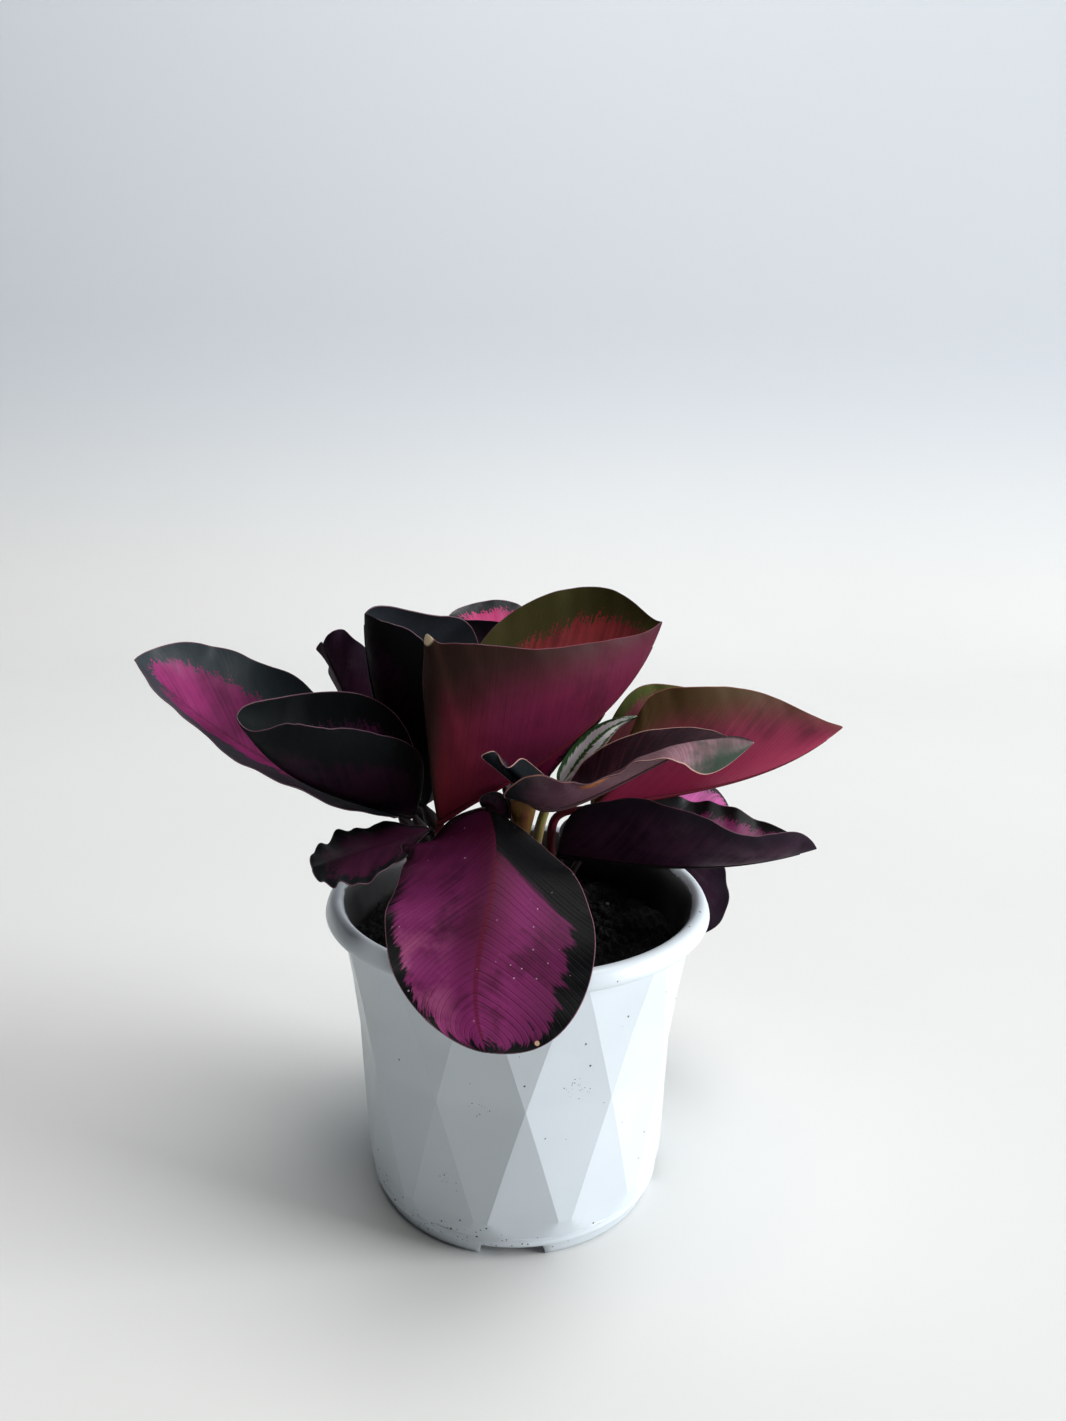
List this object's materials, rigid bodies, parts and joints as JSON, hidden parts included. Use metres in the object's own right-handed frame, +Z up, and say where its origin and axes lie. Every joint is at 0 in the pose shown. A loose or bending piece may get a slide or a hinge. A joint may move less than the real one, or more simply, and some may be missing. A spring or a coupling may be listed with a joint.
{
  "type": "potted calathea",
  "caption": "Leafy calathea with dark green and magenta leaves, standing in soil in a pale plastic pot with a rolled rim and diamond facets.",
  "frame": {"origin": "centre of the pot's foot, on the surface it stands on", "axes": "+Z up, -Y towards the front, +X to the right seen from the front"},
  "size_m": [0.2456, 0.184, 0.2247],
  "materials": {
    "pot": "satin",
    "soil": "matte",
    "leaf": "satin",
    "leaf_backlit": "satin",
    "leaf_young": "satin"
  },
  "bodies": {
    "root": {"pot": "pot", "soil": "soil", "leaf_left_long": "leaf", "leaf_left_front": "leaf", "leaf_upper_left": "leaf", "leaf_back_left": "leaf", "leaf_top_back": "leaf", "leaf_centre_big": "leaf_backlit", "leaf_behind_centre": "leaf", "leaf_right_big": "leaf_backlit", "leaf_new_rolled": "leaf_young", "leaf_front_curled": "leaf", "leaf_right_lower": "leaf", "leaf_right_small": "leaf", "leaf_right_hanging": "leaf", "leaf_left_low": "leaf", "leaf_front": "leaf", "leaf_small_tip": "leaf"}
  },
  "joints": []
}
